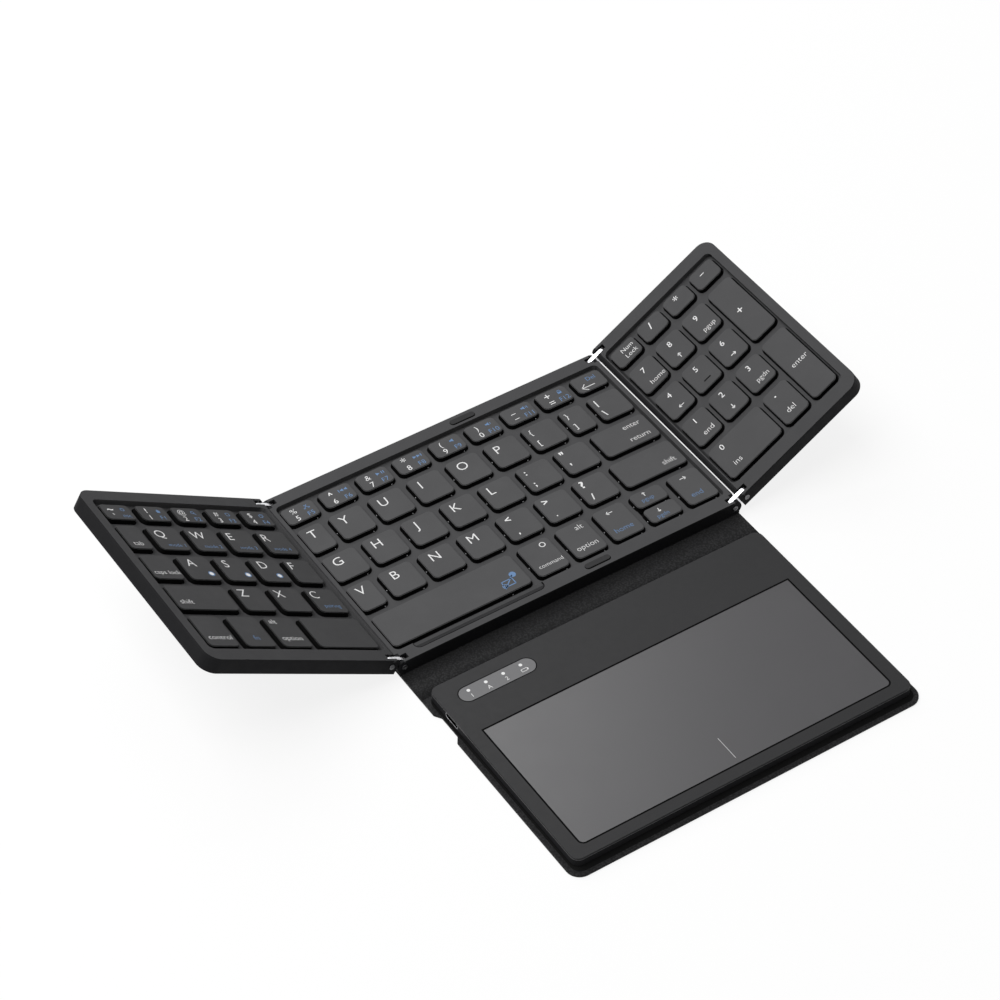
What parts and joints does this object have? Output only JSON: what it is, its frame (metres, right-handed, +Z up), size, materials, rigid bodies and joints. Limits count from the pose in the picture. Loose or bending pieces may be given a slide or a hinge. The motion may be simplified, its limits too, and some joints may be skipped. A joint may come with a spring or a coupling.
{
  "type": "folding keyboard",
  "caption": "Pocket keyboard whose two hinged wings and a leather cover with a touchpad tray fold over a centre panel of keys.",
  "frame": {"origin": "the table, under the middle of the centre panel, on the underside of the leather", "axes": "+Z up from the table, +X the typist's right, -Y the typist's side, where the touchpad tray lies"},
  "size_m": [0.3122, 0.234, 0.0595],
  "materials": {
    "leather": "pebbled, matt, black",
    "case": "fine matt texture, black",
    "rim": "fine matt texture, charcoal",
    "keycap": "smooth matt, dark grey, printed marks",
    "link": "satin, bright",
    "pin": "turned, bright",
    "support_plate": "rolled sheet",
    "rubber": "soft, matt, black",
    "touchpad": "smooth coated glass, semi gloss, grey",
    "window": "smoked, semi gloss",
    "lamp": "clear, pale",
    "circuit_board": "green solder mask",
    "port_shell": "stamped, bright",
    "switch_housing": "black",
    "cell": "laminated pouch, satin"
  },
  "bodies": {
    "centre_panel": {"cover_base_board": "leather", "centre_bottom_case": "case", "centre_top_frame": "rim", "centre_key_support": "support_plate", "rubber_rim_pads": "rubber", "hinge_barrel_strips": "case", "centre_hinge_pins": "pin"},
    "left_links": {"left_hinge_links": "link"},
    "right_links": {"right_hinge_links": "link"},
    "left_wing": {"left_bottom_case": "case", "left_top_frame": "rim", "left_key_support": "support_plate", "left_hinge_pins": "pin"},
    "right_wing": {"right_bottom_case": "case", "right_top_frame": "rim", "right_key_support": "support_plate", "right_hinge_pins": "pin"},
    "cover_spine": {"cover_spine_board": "leather"},
    "touchpad_flap": {"cover_flap_board": "leather", "tray_bottom_shell": "case", "tray_top_shell": "rim", "touchpad_surface": "touchpad", "touch_sensor_board": "circuit_board", "indicator_window": "window", "indicator_lights": "lamp", "main_board": "circuit_board", "charging_port": "port_shell", "power_switch_housing": "switch_housing", "battery": "cell"},
    "power_switch": {"power_switch_knob": "port_shell"},
    "space_key": {"space_key": "keycap"},
    "modifier_keys": {"modifier_keys": "keycap"},
    "left_arrow_key": {"left_arrow_key": "keycap"},
    "up_arrow_key": {"up_arrow_key": "keycap"},
    "down_arrow_key": {"down_arrow_key": "keycap"},
    "right_arrow_key": {"right_arrow_key": "keycap"},
    "row_4_keys": {"row_4_keys": "keycap"},
    "right_shift_key": {"right_shift_key": "keycap"},
    "row_3_keys": {"row_3_keys": "keycap"},
    "enter_key": {"enter_key": "keycap"},
    "row_2_keys": {"row_2_keys": "keycap"},
    "row_1_keys": {"row_1_keys": "keycap"},
    "backspace_key": {"backspace_key": "keycap"},
    "left_space_key": {"left_space_key": "keycap"},
    "left_modifier_keys": {"left_modifier_keys": "keycap"},
    "left_row_4_keys": {"left_row_4_keys": "keycap"},
    "left_shift_key": {"left_shift_key": "keycap"},
    "left_row_3_keys": {"left_row_3_keys": "keycap"},
    "caps_lock_key": {"caps_lock_key": "keycap"},
    "left_row_2_keys": {"left_row_2_keys": "keycap"},
    "tab_key": {"tab_key": "keycap"},
    "left_row_1_keys": {"left_row_1_keys": "keycap"},
    "pad_zero_key": {"pad_zero_key": "keycap"},
    "pad_point_key": {"pad_point_key": "keycap"},
    "pad_row_4_keys": {"pad_row_4_keys": "keycap"},
    "pad_row_3_keys": {"pad_row_3_keys": "keycap"},
    "pad_row_2_keys": {"pad_row_2_keys": "keycap"},
    "pad_row_1_keys": {"pad_row_1_keys": "keycap"},
    "pad_plus_key": {"pad_plus_key": "keycap"},
    "pad_enter_key": {"pad_enter_key": "keycap"}
  },
  "joints": [
    {"name": "left_link_fold", "type": "hinge", "parent": "centre_panel", "child": "left_links", "pos_m": [-0.0803, 0, 0.005], "axis": [0, 1, 0], "range_deg": [-31.4, 58.6]},
    {"name": "left_wing_fold", "type": "hinge", "parent": "left_links", "child": "left_wing", "pos_m": [-0.0861, 0, 0.00854], "axis": [0, 1, 0], "range_deg": [0, 90]},
    {"name": "right_link_fold", "type": "hinge", "parent": "centre_panel", "child": "right_links", "pos_m": [0.0803, 0, 0.005], "axis": [0, -1, 0], "range_deg": [-31.4, 58.6]},
    {"name": "right_wing_fold", "type": "hinge", "parent": "right_links", "child": "right_wing", "pos_m": [0.0861, 0, 0.00854], "axis": [0, -1, 0], "range_deg": [0, 90]},
    {"name": "cover_spine_fold", "type": "hinge", "parent": "centre_panel", "child": "cover_spine", "pos_m": [0, -0.0548, 0.003], "axis": [-1, 0, 0], "range_deg": [0, 90]},
    {"name": "cover_flap_fold", "type": "hinge", "parent": "cover_spine", "child": "touchpad_flap", "pos_m": [0, -0.0709, 0.003], "axis": [-1, 0, 0], "range_deg": [0, 90]},
    {"name": "power_switch_slide", "type": "slide", "parent": "touchpad_flap", "child": "power_switch", "axis": [0, 1, 0], "range_m": [0, 0.0025]},
    {"name": "space_key_press", "type": "slide", "parent": "centre_panel", "child": "space_key", "axis": [0, 0, -1], "range_m": [0, 0.0013], "stiffness_N_per_m": 430, "springref_m": -0.0001},
    {"name": "modifier_keys_press", "type": "slide", "parent": "centre_panel", "child": "modifier_keys", "axis": [0, 0, -1], "range_m": [0, 0.0013], "stiffness_N_per_m": 430, "springref_m": -0.0001},
    {"name": "left_arrow_key_press", "type": "slide", "parent": "centre_panel", "child": "left_arrow_key", "axis": [0, 0, -1], "range_m": [0, 0.0013], "stiffness_N_per_m": 430, "springref_m": -0.0001},
    {"name": "up_arrow_key_press", "type": "slide", "parent": "centre_panel", "child": "up_arrow_key", "axis": [0, 0, -1], "range_m": [0, 0.0013], "stiffness_N_per_m": 430, "springref_m": -0.0001},
    {"name": "down_arrow_key_press", "type": "slide", "parent": "centre_panel", "child": "down_arrow_key", "axis": [0, 0, -1], "range_m": [0, 0.0013], "stiffness_N_per_m": 430, "springref_m": -0.0001},
    {"name": "right_arrow_key_press", "type": "slide", "parent": "centre_panel", "child": "right_arrow_key", "axis": [0, 0, -1], "range_m": [0, 0.0013], "stiffness_N_per_m": 430, "springref_m": -0.0001},
    {"name": "row_4_keys_press", "type": "slide", "parent": "centre_panel", "child": "row_4_keys", "axis": [0, 0, -1], "range_m": [0, 0.0013], "stiffness_N_per_m": 430, "springref_m": -0.0001},
    {"name": "right_shift_key_press", "type": "slide", "parent": "centre_panel", "child": "right_shift_key", "axis": [0, 0, -1], "range_m": [0, 0.0013], "stiffness_N_per_m": 430, "springref_m": -0.0001},
    {"name": "row_3_keys_press", "type": "slide", "parent": "centre_panel", "child": "row_3_keys", "axis": [0, 0, -1], "range_m": [0, 0.0013], "stiffness_N_per_m": 430, "springref_m": -0.0001},
    {"name": "enter_key_press", "type": "slide", "parent": "centre_panel", "child": "enter_key", "axis": [0, 0, -1], "range_m": [0, 0.0013], "stiffness_N_per_m": 430, "springref_m": -0.0001},
    {"name": "row_2_keys_press", "type": "slide", "parent": "centre_panel", "child": "row_2_keys", "axis": [0, 0, -1], "range_m": [0, 0.0013], "stiffness_N_per_m": 430, "springref_m": -0.0001},
    {"name": "row_1_keys_press", "type": "slide", "parent": "centre_panel", "child": "row_1_keys", "axis": [0, 0, -1], "range_m": [0, 0.0013], "stiffness_N_per_m": 430, "springref_m": -0.0001},
    {"name": "backspace_key_press", "type": "slide", "parent": "centre_panel", "child": "backspace_key", "axis": [0, 0, -1], "range_m": [0, 0.0013], "stiffness_N_per_m": 430, "springref_m": -0.0001},
    {"name": "left_space_key_press", "type": "slide", "parent": "left_wing", "child": "left_space_key", "axis": [-0.521, 0, -0.8536], "range_m": [0, 0.0013], "stiffness_N_per_m": 430, "springref_m": -0.0001},
    {"name": "left_modifier_keys_press", "type": "slide", "parent": "left_wing", "child": "left_modifier_keys", "axis": [-0.521, 0, -0.8536], "range_m": [0, 0.0013], "stiffness_N_per_m": 430, "springref_m": -0.0001},
    {"name": "left_row_4_keys_press", "type": "slide", "parent": "left_wing", "child": "left_row_4_keys", "axis": [-0.521, 0, -0.8536], "range_m": [0, 0.0013], "stiffness_N_per_m": 430, "springref_m": -0.0001},
    {"name": "left_shift_key_press", "type": "slide", "parent": "left_wing", "child": "left_shift_key", "axis": [-0.521, 0, -0.8536], "range_m": [0, 0.0013], "stiffness_N_per_m": 430, "springref_m": -0.0001},
    {"name": "left_row_3_keys_press", "type": "slide", "parent": "left_wing", "child": "left_row_3_keys", "axis": [-0.521, 0, -0.8536], "range_m": [0, 0.0013], "stiffness_N_per_m": 430, "springref_m": -0.0001},
    {"name": "caps_lock_key_press", "type": "slide", "parent": "left_wing", "child": "caps_lock_key", "axis": [-0.521, 0, -0.8536], "range_m": [0, 0.0013], "stiffness_N_per_m": 430, "springref_m": -0.0001},
    {"name": "left_row_2_keys_press", "type": "slide", "parent": "left_wing", "child": "left_row_2_keys", "axis": [-0.521, 0, -0.8536], "range_m": [0, 0.0013], "stiffness_N_per_m": 430, "springref_m": -0.0001},
    {"name": "tab_key_press", "type": "slide", "parent": "left_wing", "child": "tab_key", "axis": [-0.521, 0, -0.8536], "range_m": [0, 0.0013], "stiffness_N_per_m": 430, "springref_m": -0.0001},
    {"name": "left_row_1_keys_press", "type": "slide", "parent": "left_wing", "child": "left_row_1_keys", "axis": [-0.521, 0, -0.8536], "range_m": [0, 0.0013], "stiffness_N_per_m": 430, "springref_m": -0.0001},
    {"name": "pad_zero_key_press", "type": "slide", "parent": "right_wing", "child": "pad_zero_key", "axis": [0.521, 0, -0.8536], "range_m": [0, 0.0013], "stiffness_N_per_m": 430, "springref_m": -0.0001},
    {"name": "pad_point_key_press", "type": "slide", "parent": "right_wing", "child": "pad_point_key", "axis": [0.521, 0, -0.8536], "range_m": [0, 0.0013], "stiffness_N_per_m": 430, "springref_m": -0.0001},
    {"name": "pad_row_4_keys_press", "type": "slide", "parent": "right_wing", "child": "pad_row_4_keys", "axis": [0.521, 0, -0.8536], "range_m": [0, 0.0013], "stiffness_N_per_m": 430, "springref_m": -0.0001},
    {"name": "pad_row_3_keys_press", "type": "slide", "parent": "right_wing", "child": "pad_row_3_keys", "axis": [0.521, 0, -0.8536], "range_m": [0, 0.0013], "stiffness_N_per_m": 430, "springref_m": -0.0001},
    {"name": "pad_row_2_keys_press", "type": "slide", "parent": "right_wing", "child": "pad_row_2_keys", "axis": [0.521, 0, -0.8536], "range_m": [0, 0.0013], "stiffness_N_per_m": 430, "springref_m": -0.0001},
    {"name": "pad_row_1_keys_press", "type": "slide", "parent": "right_wing", "child": "pad_row_1_keys", "axis": [0.521, 0, -0.8536], "range_m": [0, 0.0013], "stiffness_N_per_m": 430, "springref_m": -0.0001},
    {"name": "pad_plus_key_press", "type": "slide", "parent": "right_wing", "child": "pad_plus_key", "axis": [0.521, 0, -0.8536], "range_m": [0, 0.0013], "stiffness_N_per_m": 430, "springref_m": -0.0001},
    {"name": "pad_enter_key_press", "type": "slide", "parent": "right_wing", "child": "pad_enter_key", "axis": [0.521, 0, -0.8536], "range_m": [0, 0.0013], "stiffness_N_per_m": 430, "springref_m": -0.0001}
  ]
}
